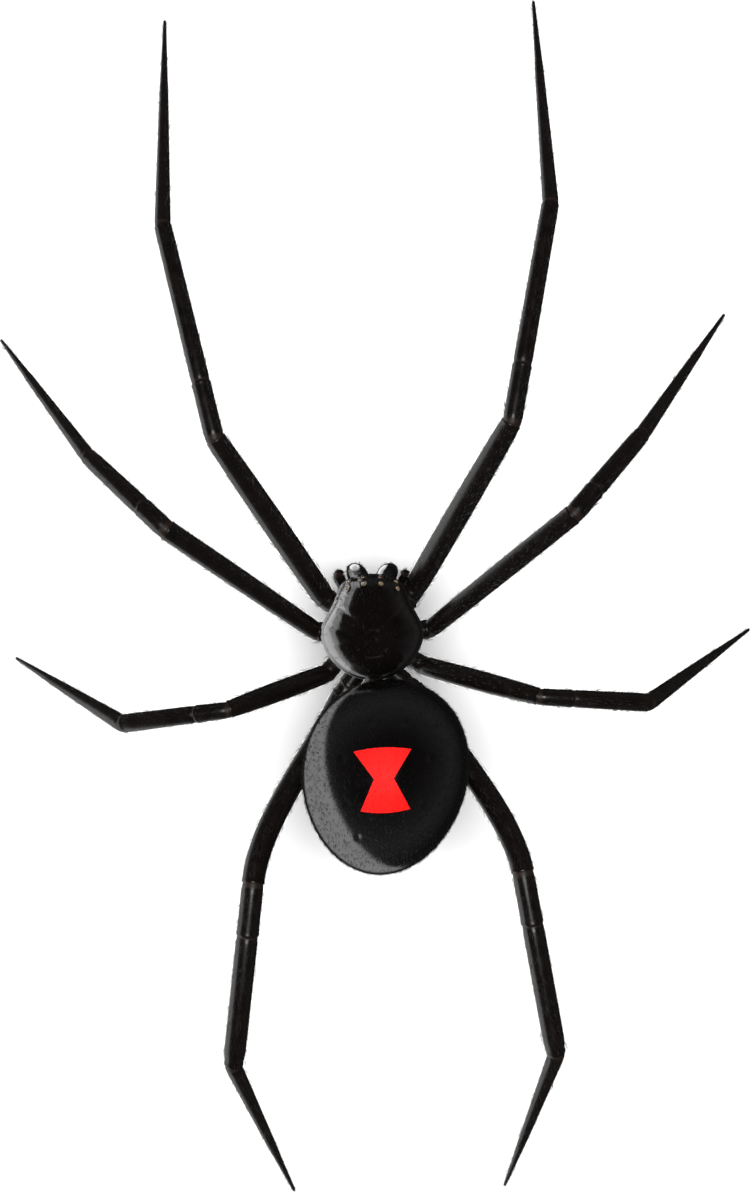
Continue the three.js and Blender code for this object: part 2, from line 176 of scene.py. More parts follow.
def make_camera():
    data = bpy.data.cameras.new("camera")
    data.sensor_width = SENSOR
    data.lens = SENSOR * CAMERA_HEIGHT / VIEW_LENGTH
    data.clip_start = 0.01
    camera = bpy.data.objects.new("camera", data)
    camera.location = (0, 0, CAMERA_HEIGHT * MM)
    camera.rotation_euler = (0, 0, math.pi)
    bpy.context.scene.collection.objects.link(camera)
    bpy.context.scene.camera = camera


# Small tools for shapes


def unit(vectors):
    vectors = np.asarray(vectors, float)
    return vectors / np.linalg.norm(vectors, axis=-1, keepdims=True)


def smoothstep(value, start, stop):
    t = np.clip((value - start) / (stop - start), 0, 1)
    return t * t * (3 - 2 * t)


def hump(value, middle, spread):
    return np.exp(-(((value - middle) / spread) ** 2))


def lerp(a, b, t):
    return a + (b - a) * t


def mid_bump(t):
    return 4 * t * (1 - t)


def early_bump(t):
    return 6.75 * t * (1 - t) ** 2


def late_bump(t):
    return 6.75 * t**2 * (1 - t)


def swelling(start, middle, end):
    return lambda t: lerp(start, end, t) + (middle - (start + end) / 2) * np.sin(np.pi * t)


def taper(start, end):
    return lambda t: lerp(start, end, t)


def ring_faces(rings, sides, first=0):
    """Quads between rings of points, one ring after another."""
    ring, side = np.meshgrid(np.arange(rings - 1), np.arange(sides), indexing="ij")
    a = ring * sides + side
    b = ring * sides + (side + 1) % sides
    return np.stack([a, b, b + sides, a + sides], -1).reshape(-1, 4) + first


def capped(rings, sides):
    """Faces of a closed skin: a pole, rings of points and a second pole."""
    side = np.arange(sides)
    after = (side + 1) % sides
    last = 1 + (rings - 1) * sides
    start = np.stack([np.zeros_like(side), 1 + after, 1 + side], -1)
    stop = np.stack([np.full_like(side, last + sides), last + side, last + after], -1)
    return ring_faces(rings, sides, 1).tolist() + start.tolist() + stop.tolist()


def facing_out(points, faces):
    """The faces, turned so that the closed skin's volume is positive."""
    volume = sum(
        float(np.dot(points[f[0]], np.cross(points[f[i]], points[f[i + 1]])))
        for f in faces[:: max(1, len(faces) // 4000)]
        for i in range(1, len(f) - 1)
    )
    return faces if volume > 0 else [f[::-1] for f in faces]


def unit_egg(sides, rings):
    """Unit directions over a sphere whose poles lie along Y, front pole first."""
    angle = np.pi * np.arange(1, rings) / rings
    turn = 2 * np.pi * np.arange(sides) / sides
    ring, around = np.meshgrid(angle, turn, indexing="ij")
    body = np.stack([np.sin(ring) * np.cos(around), -np.cos(ring), np.sin(ring) * np.sin(around)], -1)
    return np.vstack([[0, -1, 0], body.reshape(-1, 3), [0, 1, 0]])


def grid_normals(points, sides):
    """Outward normals of a skin made over unit_egg."""
    body = points[1:-1].reshape(-1, sides, 3)
    along = np.empty_like(body)
    along[1:-1] = body[2:] - body[:-2]
    along[0] = body[1] - points[0]
    along[-1] = points[-1] - body[-2]
    around = np.roll(body, -1, axis=1) - np.roll(body, 1, axis=1)
    normals = unit(np.cross(around, along)).reshape(-1, 3)
    middle = points.mean(axis=0)
    if np.sum((points[1:-1] - middle) * normals) < 0:
        normals = -normals
    return np.vstack([unit(points[0] - middle), normals, unit(points[-1] - middle)])


def valley(plan, start, stop, width, depth):
    """A groove over the plan from start to stop, fading out at both ends."""
    start, stop = np.array(start), np.array(stop)
    way = stop - start
    t = (plan - start) @ way / (way @ way)
    nearest = start + np.clip(t, 0, 1)[:, None] * way
    away = np.linalg.norm(plan - nearest, axis=1)
    return -depth * hump(away, 0, width) * smoothstep(t, -0.1, 0.25) * (1 - smoothstep(t, 0.7, 1.05))


# Limbs


class Limb:
    """A round limb from one joint to the next. bend says how far each share of its length is pushed aside."""

    def __init__(self, start, end, radius_at, bend=None, reference=UP):
        self.start, self.end = np.array(start, float), np.array(end, float)
        self.way = self.end - self.start
        self.length = float(np.linalg.norm(self.way))
        self.radius_at = radius_at
        self.bend = bend or (lambda t: np.zeros((len(t), 3)))
        self.side = unit(np.cross(self.way, reference))

    def middle(self, s):
        share = s / self.length
        return self.start + share[:, None] * self.way + self.bend(np.clip(share, 0, 1))

    def axes(self, s):
        """Directions along the limb, to its side and over its back, at each distance."""
        step = 0.01
        inner = np.clip(s, step, self.length - step)
        along = unit(self.middle(inner + step) - self.middle(inner - step))
        side = unit(self.side - np.sum(along * self.side, axis=1)[:, None] * along)
        return along, side, np.cross(side, along)

    def surface(self, s, radius, turn):
        """Places and outward directions at distances s, radii and turns round the limb."""
        _, side, back = self.axes(s)
        out = np.cos(turn)[:, None] * side + np.sin(turn)[:, None] * back
        return self.middle(s) + radius[:, None] * out, out

    def skin(self, rows, sides):
        """A closed skin through rows of (distance, radius, slant) from pole to pole.

        A row's slant is how far its underside draws back towards the limb's start.
        """
        rows = np.array(rows)
        turn = np.tile(2 * np.pi * np.arange(sides) / sides, len(rows) - 2)
        s, radius, slant = np.repeat(rows[1:-1], sides, axis=0).T
        points, _ = self.surface(s - slant * (1 - np.sin(turn)) / 2, radius, turn)
        poles = self.middle(rows[[0, -1], 0])
        points = np.vstack([poles[:1], points, poles[1:]])
        return points, facing_out(points, capped(len(rows) - 2, sides))


BALL = 0.94
UNDERCUT = 0.45


def segment_rows(limb, following=None, steps=22):
    """A segment's rows: a ball in the joint before it, its length, and a mouth for the next one's ball.

    following is the next segment's first radius. Without it the segment ends in a round tip.
    """
    first = float(limb.radius_at(0.0))
    last = float(limb.radius_at(1.0))
    quarter = np.linspace(0, np.pi / 2, 7)
    rows = [(-first * BALL * np.cos(a), first * BALL * np.sin(a), 0.0) for a in quarter[:-1]]
    shoulder = 0.6 * first
    reach = min(1.5 * last, 0.5 * (limb.length - shoulder))
    s = np.concatenate(
        [
            np.linspace(0, shoulder, 7),
            np.linspace(shoulder, limb.length - reach, steps)[1:],
            np.linspace(limb.length - reach, limb.length, 12)[1:],
        ]
    )
    radius = limb.radius_at(s / limb.length) * lerp(BALL, 1, smoothstep(s, 0, shoulder))
    if following is None:
        rows += [(*row, 0.0) for row in zip(s, radius)]
        rows += [(limb.length + last * np.sin(a), last * np.cos(a), 0.0) for a in quarter[1:]]
        return rows
    narrowing = smoothstep(s, limb.length - reach, limb.length)
    mouth = lerp(last, following * 1.03, 0.75)
    radius = lerp(radius, mouth, narrowing) + 0.03 * last * hump(s, limb.length - 0.15 * last, 0.12 * last)
    rows += list(zip(s, radius, UNDERCUT * last * narrowing))
    slant = UNDERCUT * last
    rows += [
        (limb.length + 0.03 * last, mouth * 0.985, slant),
        (limb.length + 0.02 * last, mouth * 0.93, slant),
        (limb.length - 0.12 * last, mouth * 0.86, slant),
        (limb.length - 0.3 * last - slant / 2, 0.0, 0.0),
    ]
    return rows


def chain_skins(chain, sides, steps_per_mm=6):
    """The skins of limbs that follow one another, each held in the mouth of the one before."""
    skins = []
    for limb, after in zip(chain, chain[1:] + [None]):
        following = None if after is None else float(after.radius_at(0.0))
        points, faces = limb.skin(segment_rows(limb, following, max(4, int(limb.length * steps_per_mm))), sides)
        points[:, 2] = np.maximum(points[:, 2], 0.0)
        skins.append((points, faces))
    return skins


# Meshes


def mesh_of(name, points, faces):
    mesh = bpy.data.meshes.new(name)
    mesh.from_pydata(np.asarray(points).tolist(), [], faces)
    mesh.validate()
    return mesh


def fuse(parts):
    """The outer surface of closed parts that overlap, as one mesh."""
    scene = bpy.context.scene.collection
    objects = [bpy.data.objects.new("part", mesh_of("part", *part)) for part in parts]
    others = bpy.data.collections.new("others")
    scene.objects.link(objects[0])
    scene.children.link(others)
    for other in objects[1:]:
        others.objects.link(other)
    union = objects[0].modifiers.new("union", "BOOLEAN")
    union.operation = "UNION"
    union.operand_type = "COLLECTION"
    union.collection = others
    union.solver = "MANIFOLD"
    graph = bpy.context.evaluated_depsgraph_get()
    mesh = bpy.data.meshes.new_from_object(objects[0].evaluated_get(graph))
    for made in objects:
        bpy.data.meshes.remove(made.data)
    bpy.data.collections.remove(others)
    return mesh


def piece(name, mesh, material, stands_for=(), crease=None):
    """Moves a mesh in millimetres into the frame as a piece of the spider."""
    mesh.transform(Matrix.Scale(MM, 4) @ Matrix.Translation(Vector(SHIFT)))
    mesh.name = name
    mesh.materials.clear()
    mesh.materials.append(material)
    mesh.shade_smooth()
    if crease is not None:
        mesh.set_sharp_from_angle(angle=math.radians(crease))
    made = bpy.data.objects.new(name, mesh)
    bpy.context.scene.collection.objects.link(made)
    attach(made, "root")
    if stands_for:
        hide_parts(*stands_for)
    return made


# Bristles

BRISTLE_FACES = (((0, 1, 4, 3), (1, 2, 5, 4), (2, 0, 3, 5)), ((3, 4, 6), (4, 5, 6), (5, 3, 6), (2, 1, 0)))
BRISTLE_POINTS = 7
PATCH = 0.003


def bristle_mesh(name, roots):
    """Thin three-sided bristles that bend back towards the skin, each a small patch on the skin's unwrap."""
    place, out, lie = roots["place"], roots["out"], roots["lie"]
    length, width, lift = (roots[k][:, None] for k in ("length", "width", "lift"))
    rise = unit(np.cos(lift) * lie + np.sin(lift) * out)
    onwards = unit(np.cos(lift * 0.35) * lie + np.sin(lift * 0.35) * out)
    across = unit(np.cross(rise, out))
    over = np.cross(across, rise)
    foot = place - rise * width * 1.5
    bend = place + rise * length * 0.45
    tip = bend + onwards * length * 0.55
    rows = []
    for centre, share in ((foot, 1.0), (bend, 0.7)):
        for corner in range(3):
            angle = 2 * np.pi * corner / 3
            offset = np.cos(angle) * across + np.sin(angle) * over
            rows.append(centre + offset * width * share / 2)
    rows.append(tip)
    points = np.stack(rows, 1)
    above_floor = points[:, :, 2].min(axis=1) > 0
    points = points[above_floor].reshape(-1, 3)
    uv = roots["uv"][above_floor]
    first = np.arange(len(uv))[:, None, None] * BRISTLE_POINTS
    faces = []
    corners = []
    for pattern in BRISTLE_FACES:
        pattern = np.array(pattern)
        faces += (pattern + first).reshape(-1, pattern.shape[1]).tolist()
        corners.append(patch_corners(pattern, uv))
    mesh = mesh_of(name, points, faces)
    layer = mesh.uv_layers.new(name="OFBake")
    layer.uv.foreach_set("vector", np.concatenate(corners).astype(np.float32).ravel())
    return mesh


def patch_corners(pattern, uv):
    """Where each corner of a bristle's faces lies in its patch round the root's place."""
    height = np.array((0, 0, 0, 1, 1, 1, 2)) / 2
    sideways = np.array((0, 1, 2, 0, 1, 2, 1)) / 2
    local = np.stack([sideways[pattern], height[pattern]], -1)
    if pattern.shape[1] == 3:
        local[-1] = ((0, 0), (0.3, 0), (0, 0.3))
    return (uv[:, None, :] + (local.reshape(-1, 2) - 0.5) * PATCH).reshape(-1, 2)


def limb_roots(limbs, per_mm2, rng, size, start=0.03, stop=0.97):
    """Bristle roots all over a chain of limbs, lying towards their far ends."""
    total = sum(limb.length for limb in limbs)
    before = 0.0
    rows = []
    for limb in limbs:
        area = 2 * np.pi * float(np.mean(limb.radius_at(np.linspace(0, 1, 9)))) * limb.length
        count = int(per_mm2 * area)
        share = rng.uniform(start, stop, count)
        turn = rng.uniform(0, 2 * np.pi, count)
        s = share * limb.length
        place, out = limb.surface(s, limb.radius_at(share), turn)
        along, _, _ = limb.axes(s)
        sideways = np.cross(out, along)
        stray = rng.normal(0, 0.25, count)[:, None]
        lie = unit(along + stray * sideways)
        uv = np.stack([turn / (2 * np.pi), (before + s) / total], -1) * 0.98 + 0.01
        rows.append((place, out, lie, uv))
        before += limb.length
    place, out, lie, uv = (np.vstack(column) for column in zip(*rows))
    return dress(place, out, lie, uv, rng, size)


def egg_roots(points, directions, sides, count, rng, size, weight=None):
    """Bristle roots spread evenly over a skin made over unit_egg, lying backwards."""
    quads = ring_faces((len(points) - 2) // sides, sides, 1)
    corner = points[quads]
    area = np.linalg.norm(np.cross(corner[:, 2] - corner[:, 0], corner[:, 3] - corner[:, 1]), axis=1)
    if weight is not None:
        area = area * weight(directions[quads].mean(axis=1))
    face = rng.choice(len(quads), count, p=area / area.sum())
    u, v = rng.uniform(0, 1, (2, count))
    share = np.stack([(1 - u) * (1 - v), u * (1 - v), u * v, (1 - u) * v], -1)[..., None]
    place = np.sum(points[quads[face]] * share, axis=1)
    out = unit(np.sum(grid_normals(points, sides)[quads[face]] * share, axis=1))
    direction = unit(np.sum(directions[quads[face]] * share, axis=1))
    back = np.array((0.0, 1.0, 0.0)) + rng.normal(0, 0.25, (count, 3))
    lie = unit(back - np.sum(back * out, axis=1)[:, None] * out)
    longitude = (np.arctan2(direction[:, 2], direction[:, 0]) / (2 * np.pi)) % 1
    latitude = np.arccos(np.clip(-direction[:, 1], -1, 1)) / np.pi
    uv = np.stack([longitude, latitude], -1) * 0.98 + 0.01
    return dress(place, out, lie, uv, rng, size)


def dress(place, out, lie, uv, rng, size):
    """Gives roots their bristles' sizes. size holds the mean length, width and lift."""
    count = len(place)
    length, width, lift = size
    return {
        "place": place,
        "out": out,
        "lie": lie,
        "uv": uv,
        "length": length * rng.uniform(0.6, 1.25, count),
        "width": width * rng.uniform(0.8, 1.15, count),
        "lift": lift * rng.uniform(0.7, 1.3, count),
    }


# Materials


class Nodes:
    """A node tree in the making."""

    def __init__(self, tree):
        self.tree = tree

    def add(self, kind, inputs=None, **settings):
        node = self.tree.nodes.new(kind)
        for key, value in settings.items():
            setattr(node, key, value)
        for key, value in (inputs or {}).items():
            self.set(node.inputs[key], value)
        return node

    def set(self, socket, value):
        if isinstance(value, bpy.types.NodeSocket):
            self.tree.links.new(value, socket)
        else:
            socket.default_value = value

    def math(self, operation, a, b=0.0):
        return self.add("ShaderNodeMath", {0: a, 1: b}, operation=operation).outputs[0]

    def span(self, value, low, high, to_low=0.0, to_high=1.0, smooth=False):
        kind = "SMOOTHSTEP" if smooth else "LINEAR"
        inputs = {"Value": value, "From Min": low, "From Max": high, "To Min": to_low, "To Max": to_high}
        return self.add("ShaderNodeMapRange", inputs, interpolation_type=kind).outputs["Result"]

    def through(self, value, rows):
        """A curve of straight lines through rows of (value, result)."""
        total = rows[0][1]
        for (start, low), (stop, high) in zip(rows, rows[1:]):
            total = self.math("ADD", total, self.span(value, start, stop, 0.0, high - low))
        return total


class Look(Nodes):
    """A material in the making."""

    def __init__(self, name):
        self.material = bpy.data.materials.new(name)
        self.material.use_nodes = True
        super().__init__(self.material.node_tree)
        self.shader = self.tree.nodes["Principled BSDF"]
        self.place = self.add("ShaderNodeTexCoord").outputs["Object"]

    def finish(self, **values):
        for key, value in values.items():
            self.set(self.shader.inputs[key.replace("_", " ")], value)
        return self.material

    def noise(self, size, detail=3.0, rough=0.5, warp=0.0):
        """Soft noise from 0 to 1, whose blots are about size millimetres wide."""
        inputs = {"Vector": self.place, "Scale": 1 / (size * MM)}
        inputs.update({"Detail": detail, "Roughness": rough, "Distortion": warp})
        return self.add("ShaderNodeTexNoise", inputs).outputs["Fac"]

    def cells(self, size, feature="F1"):
        inputs = {"Vector": self.place, "Scale": 1 / (size * MM)}
        return self.add("ShaderNodeTexVoronoi", inputs, feature=feature).outputs["Distance"]

    def mix(self, share, a, b):
        node = self.add("ShaderNodeMix", {"Factor": share}, data_type="RGBA")
        self.set(node.inputs[6], a)
        self.set(node.inputs[7], b)
        return node.outputs[2]

    def bump(self, height, depth, strength=1.0):
        """A normal from a height of 0 to 1 that stands for depth millimetres."""
        inputs = {"Height": height, "Distance": depth * MM, "Strength": strength}
        return self.add("ShaderNodeBump", inputs).outputs["Normal"]


def mark_share(look, mark, side):
    """1 inside an hourglass mark on the back (side 1) or the belly (side -1), 0 outside."""
    split = look.add("ShaderNodeSeparateXYZ", {0: look.place})
    middle = [(c + s) * MM for c, s in zip(mark["centre"], SHIFT)]
    x = look.math("SUBTRACT", split.outputs[0], middle[0])
    y = look.math("SUBTRACT", split.outputs[1], middle[1])
    cos, sin = math.cos(mark["turn"]), math.sin(mark["turn"])
    across = look.math("ADD", look.math("MULTIPLY", x, cos), look.math("MULTIPLY", y, sin))
    along = look.math("SUBTRACT", look.math("MULTIPLY", y, cos), look.math("MULTIPLY", x, sin))
    across = look.math("ABSOLUTE", across)
    waist = mark["waist_half"] * MM
    limits = []
    half = waist
    for sign, end, corner in ((-1, "front", "front_half"), (1, "rear", "rear_half")):
        beyond = look.math("MULTIPLY", along, sign)
        slope = (mark[corner] - mark["waist_half"]) / mark[end]
        half = look.math("ADD", half, look.math("MULTIPLY", look.math("MAXIMUM", beyond, 0.0), slope))
        bow = look.math("MULTIPLY", across, 1 / (mark[corner] * MM))
        bow = look.math("SUBTRACT", 1.0, look.math("MULTIPLY", bow, bow))
        edge = look.math("ADD", look.math("MULTIPLY", bow, MARK_BULGE * MM), mark[end] * MM)
        limits.append(look.math("SUBTRACT", edge, beyond))
    limits.append(look.math("SUBTRACT", half, across))
    inside = look.math("MINIMUM", look.math("MINIMUM", limits[0], limits[1]), limits[2])
    ragged = look.math("MULTIPLY", look.math("SUBTRACT", look.noise(0.15), 0.5), 0.03 * MM)
    inside = look.math("ADD", inside, ragged)
    share = look.span(inside, -0.006 * MM, 0.012 * MM, smooth=True)
    height = look.math("SUBTRACT", split.outputs[2], ABDOMEN["centre"][2] * MM)
    right_side = look.math("GREATER_THAN", look.math("MULTIPLY", height, side), 0.0)
    return look.math("MULTIPLY", share, right_side)


def marks_share(look):
    return look.math("MAXIMUM", mark_share(look, BACK_MARK, 1), mark_share(look, BELLY_MARK, -1))


def abdomen_look():
    look = Look("abdomen_skin")
    patchy = look.noise(0.9)
    black = look.mix(patchy, (0.0010, 0.0009, 0.0009, 1), (0.0026, 0.0022, 0.0021, 1))
    red = look.mix(look.noise(0.35), (0.90, 0.0012, 0.0006, 1), (0.74, 0.0006, 0.0004, 1))
    grain = look.span(look.cells(0.07), 0.0, 0.6)
    red = look.mix(look.math("MULTIPLY", grain, 0.25), red, (1.0, 0.006, 0.002, 1))
    marked = marks_share(look)
    rough = look.span(patchy, 0.3, 0.7, 0.13, 0.18)
    rough = look.math("ADD", rough, look.math("MULTIPLY", marked, 0.42))
    leather = look.math("ADD", look.noise(0.12, 2.0, warp=0.6), look.math("MULTIPLY", grain, 0.4))
    return look.finish(
        Base_Color=look.mix(marked, black, red),
        Roughness=rough,
        Normal=look.bump(leather, 0.0022),
    )


def shell_look():
    look = Look("body_chitin")
    patchy = look.noise(0.6)
    black = look.mix(patchy, (0.0012, 0.0010, 0.0010, 1), (0.0036, 0.0027, 0.0023, 1))
    pores = look.span(look.cells(0.05), 0.0, 0.5)
    return look.finish(
        Base_Color=black,
        Roughness=look.span(patchy, 0.3, 0.7, 0.09, 0.14),
        Normal=look.bump(look.math("ADD", pores, look.noise(0.1)), 0.0012),
    )


def leg_look():
    look = Look("leg_chitin")
    patchy = look.noise(0.5)
    soft = look.add("ShaderNodeAttribute", attribute_name="soft").outputs["Fac"]
    black = look.mix(patchy, (0.0014, 0.0011, 0.0010, 1), (0.0042, 0.0029, 0.0023, 1))
    return look.finish(
        Base_Color=look.mix(soft, black, (0.009, 0.005, 0.0035, 1)),
        Roughness=look.math("ADD", look.span(patchy, 0.3, 0.7, 0.22, 0.32), look.math("MULTIPLY", soft, 0.2)),
        Normal=look.bump(look.noise(0.06, 2.0), 0.002),
        Specular_IOR_Level=0.25,
    )


def bristle_look(name, marked):
    look = Look(name)
    dark = look.mix(look.noise(0.2), (0.002, 0.0017, 0.0015, 1), (0.007, 0.005, 0.004, 1))
    if marked:
        dark = look.mix(marks_share(look), dark, (0.55, 0.0015, 0.001, 1))
    return look.finish(Base_Color=dark, Roughness=0.4)


def eye_look(name, deep, pale):
    look = Look(name)
    return look.finish(Base_Color=look.mix(look.noise(0.08), deep, pale), Roughness=0.04, Coat_Weight=1.0)


def fang_look():
    look = Look("fang")
    height = look.add("ShaderNodeSeparateXYZ", {0: look.place}).outputs[2]
    towards_tip = look.span(height, 1.35 * MM, 1.9 * MM, 1.0, 0.0, smooth=True)
    brown = look.mix(look.noise(0.15), (0.045, 0.010, 0.004, 1), (0.09, 0.022, 0.008, 1))
    return look.finish(
        Base_Color=look.mix(towards_tip, brown, (0.006, 0.003, 0.002, 1)),
        Roughness=look.span(look.noise(0.1), 0.3, 0.7, 0.1, 0.18),
    )


def floor_look():
    look = Look("floor")
    shade = look.mix(look.noise(9.0), (0.86, 0.86, 0.86, 1), (0.88, 0.88, 0.88, 1))
    return look.finish(Base_Color=shade, Roughness=0.7)


# Body


def prosoma_points(direction):
    s = PROSOMA
    x, y, z = direction.T
    chest = smoothstep(y, -0.75, 0.2)
    blunt = lerp(np.sqrt(1 + y**2 + y**4), 1, chest)
    half_width = lerp(s["head_half_width"], s["chest_half_width"], chest) * blunt
    pit = s["pit_depth"] * np.exp(-(x * x + (y - s["pit_place"]) ** 2) / s["pit_spread"] ** 2)
    rise = (s["top_height"] - s["top_slope"] * y) * lerp(1, blunt, s["head_bluntness"]) - pit
    under = 1 - s["pinch"] * (1 - np.exp(np.minimum(z, 0) / s["pinch_spread"]))
    return np.stack(
        [
            s["centre"][0] + x * half_width * under,
            s["centre"][1] + y * s["half_length"],
            s["centre"][2] + z * np.where(z > 0, rise, s["depth"]),
        ],
        -1,
    )


def abdomen_points(direction):
    s = ABDOMEN
    x, y, z = direction.T
    level = s["centre"][2] - s["tilt"] * y - s["sag"] * y * y
    return np.stack(
        [
            s["centre"][0] + s["lean"] * y + x * s["half_width"] * (1 - s["front_fullness"] * y),
            s["centre"][1] + y * s["half_length"],
            level + z * np.where(z > 0, s["top_height"], s["depth"]),
        ],
        -1,
    )


def eye_balls():
    """Each eye's middle and radius, read from its solid."""
    balls = {}
    flat = math.sin(math.pi * 3 / 7)  # the solid's widest ring is this share of its radius
    for row in ("front_middle", "front_side", "rear_middle", "rear_side"):
        for side in SIDES:
            low, high = (np.array(corner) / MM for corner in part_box(f"eye_{row}_{side}"))
            balls[f"eye_{row}_{side}"] = ((low + high) / 2 - SHIFT, (high[0] - low[0]) / 2 / flat)
    return balls


def prosoma_relief(direction, points, balls):
    """How far the shield and the breastplate stand out from the plain egg."""
    x, y, z = direction.T
    plan = points[:, :2] - np.array(PROSOMA["centre"][:2])
    top = smoothstep(z, 0.02, 0.2)
    relief = -0.07 * hump(np.hypot(plan[:, 0], plan[:, 1] - 0.6), 0, 0.2) * top
    mirrored = np.stack([np.abs(plan[:, 0]), plan[:, 1]], -1)
    relief += top * valley(mirrored, (0.18, 0.35), (1.5, -0.95), 0.12, 0.035)
    for end in ((1.95, -0.1), (1.95, 0.75), (1.45, 1.65)):
        start = np.array((0.0, 0.6)) + 0.16 * (np.array(end) - np.array((0.0, 0.6)))
        relief += top * valley(mirrored, start, end, 0.13, 0.016)
    relief += 0.04 * hump(z, 0.05, 0.05) - 0.03 * hump(z, 0.17, 0.06)
    face = smoothstep(-y, 0.7, 0.95)
    relief -= 0.06 * face * hump(z, 0.1, 0.12)
    for centre, radius in balls.values():
        away = np.linalg.norm(points - centre, axis=1)
        relief += 0.035 * hump(away, radius * 1.2, 0.06) - 0.02 * hump(away, 0, radius * 0.8)
    half = 0.98 * np.sqrt(np.clip(1 - ((plan[:, 1] + 0.3) / np.where(plan[:, 1] < -0.3, 0.85, 1.75)) ** 2, 0, 1))
    inside = half - np.abs(plan[:, 0])
    under = smoothstep(-z, 0.35, 0.6)
    relief += under * (0.06 * smoothstep(inside, 0, 0.09) - 0.05 * hump(inside, -0.06, 0.05))
    return relief


def lobe(centre, radii, turn=0.0, sides=24, rings=16):
    """A small egg, turned about the vertical."""
    points = unit_egg(sides, rings) * np.array(radii)
    cos, sin = math.cos(turn), math.sin(turn)
    points = points @ np.array(((cos, sin, 0), (-sin, cos, 0), (0, 0, 1)))
    points = points + np.array(centre)
    return points, facing_out(points, capped(rings - 1, sides))


def beside(place, side):
    """A place given beside the cephalothorax's middle line, on one side of it."""
    return np.array((PROSOMA["centre"][0] + side * place[0], place[1], place[2]))


def make_cephalothorax(looks, rng):
    sides, rings = 300, 170
    direction = unit_egg(sides, rings)
    points = prosoma_points(direction)
    balls = eye_balls()
    relief = prosoma_relief(direction, points, balls)
    points = points + relief[:, None] * grid_normals(points, sides)
    parts = [(points, facing_out(points, capped(rings - 1, sides)))]
    parts.append(lobe((PROSOMA["centre"][0], 0.02, 2.56), (0.28, 0.24, 0.12)))
    for side in SIDES.values():
        parts.append(lobe(beside((0.36, -0.3, 2.5), side), (0.2, 0.42, 0.17), turn=-side * 0.45))
    piece("cephalothorax_shell", fuse(parts), looks["shell"], ["cephalothorax"], crease=50)

    def growth(d):
        return (0.25 + 1.2 * smoothstep(-d[:, 1], 0.2, 0.8)) * (0.4 + smoothstep(d[:, 2], -0.2, 0.4))

    roots = egg_roots(points, direction, sides, 900, rng, (0.16, 0.014, 0.7), growth)
    clear = np.ones(len(roots["place"]), bool)
    for centre, radius in balls.values():
        clear &= np.linalg.norm(roots["place"] - centre, axis=1) > radius * 1.5
    roots = {key: value[clear] for key, value in roots.items()}
    mesh = bristle_mesh("cephalothorax_bristles", roots)
    piece("cephalothorax_bristles", mesh, looks["bristle"])

    for name, (centre, radius) in balls.items():
        ball = lobe(centre, (radius,) * 3, sides=40, rings=24)
        look = looks["eye_dark"] if "front_middle" in name else looks["eye_pale"]
        piece(f"{name}_lens", mesh_of(name, *ball), look, [name])


def abdomen_relief(direction, points):
    """Dimples on the back, and the lung covers, furrows and folds of the belly."""
    x, y, z = direction.T
    side = np.abs(x)
    relief = np.zeros(len(x))
    back = smoothstep(z, 0.3, 0.6)
    for place, depth in (((0.2, -0.56), 0.02), ((0.52, -0.2), 0.035), ((0.46, 0.26), 0.02), ((0.3, 0.6), 0.02)):
        relief -= back * depth * hump(np.hypot(side - place[0], y - place[1]), 0, 0.035)
    belly = smoothstep(-z, 0.2, 0.5)
    cover = np.hypot((side - 0.33) / 0.17, (y + 0.54) / 0.11)
    relief += belly * (0.025 * (1 - smoothstep(cover, 0.75, 1.0)) - 0.015 * hump(cover, 1.1, 0.12))
    furrow = hump(y, -0.41 + 0.12 * side**2, 0.018) * (1 - smoothstep(side, 0.45, 0.6))
    relief -= belly * 0.06 * furrow
    relief += belly * 0.09 * hump(np.hypot(side / 0.09, (y + 0.47) / 0.045), 0, 1.0)
    relief -= belly * 0.02 * hump(side, 0.36, 0.03) * smoothstep(y, -0.3, -0.1) * (1 - smoothstep(y, 0.5, 0.65))
    folds = smoothstep(y, 0.62, 0.74) * (1 - smoothstep(y, 0.93, 0.99))
    relief += belly * 0.018 * folds * np.sin(y * 95)
    return relief


def make_abdomen(looks, rng):
    sides, rings = 340, 230
    direction = unit_egg(sides, rings)
    points = abdomen_points(direction)
    points = points + abdomen_relief(direction, points)[:, None] * grid_normals(points, sides)
    faces = facing_out(points, capped(rings - 1, sides))
    nodes = ["abdomen", "hourglass_back", "hourglass_belly"]
    piece("abdomen_skin", mesh_of("abdomen", points, faces), looks["abdomen"], nodes)
    roots = egg_roots(points, direction, sides, 7000, rng, (0.17, 0.013, 0.55))
    mesh = bristle_mesh("abdomen_bristles", roots)
    piece("abdomen_bristles", mesh, looks["marked_bristle"])


def make_waist(looks):
    s = PEDICEL
    stalk = Limb(s["from"], s["to"], lambda t: s["radius"] + 0 * t)
    rows = [(-0.1, 0.0, 0.0)]
    for distance in np.linspace(-0.1, stalk.length + 0.1, 60):
        fold = 0.035 * math.sin(distance * 2 * math.pi / 0.24)
        waist = 0.06 * math.sin(math.pi * min(1, max(0, distance / stalk.length)))
        rows.append((distance, s["radius"] - waist + fold, 0.0))
    rows.append((stalk.length + 0.1, 0.0, 0.0))
    piece("waist_stalk", mesh_of("waist", *stalk.skin(rows, 48)), looks["leg"], ["waist"])


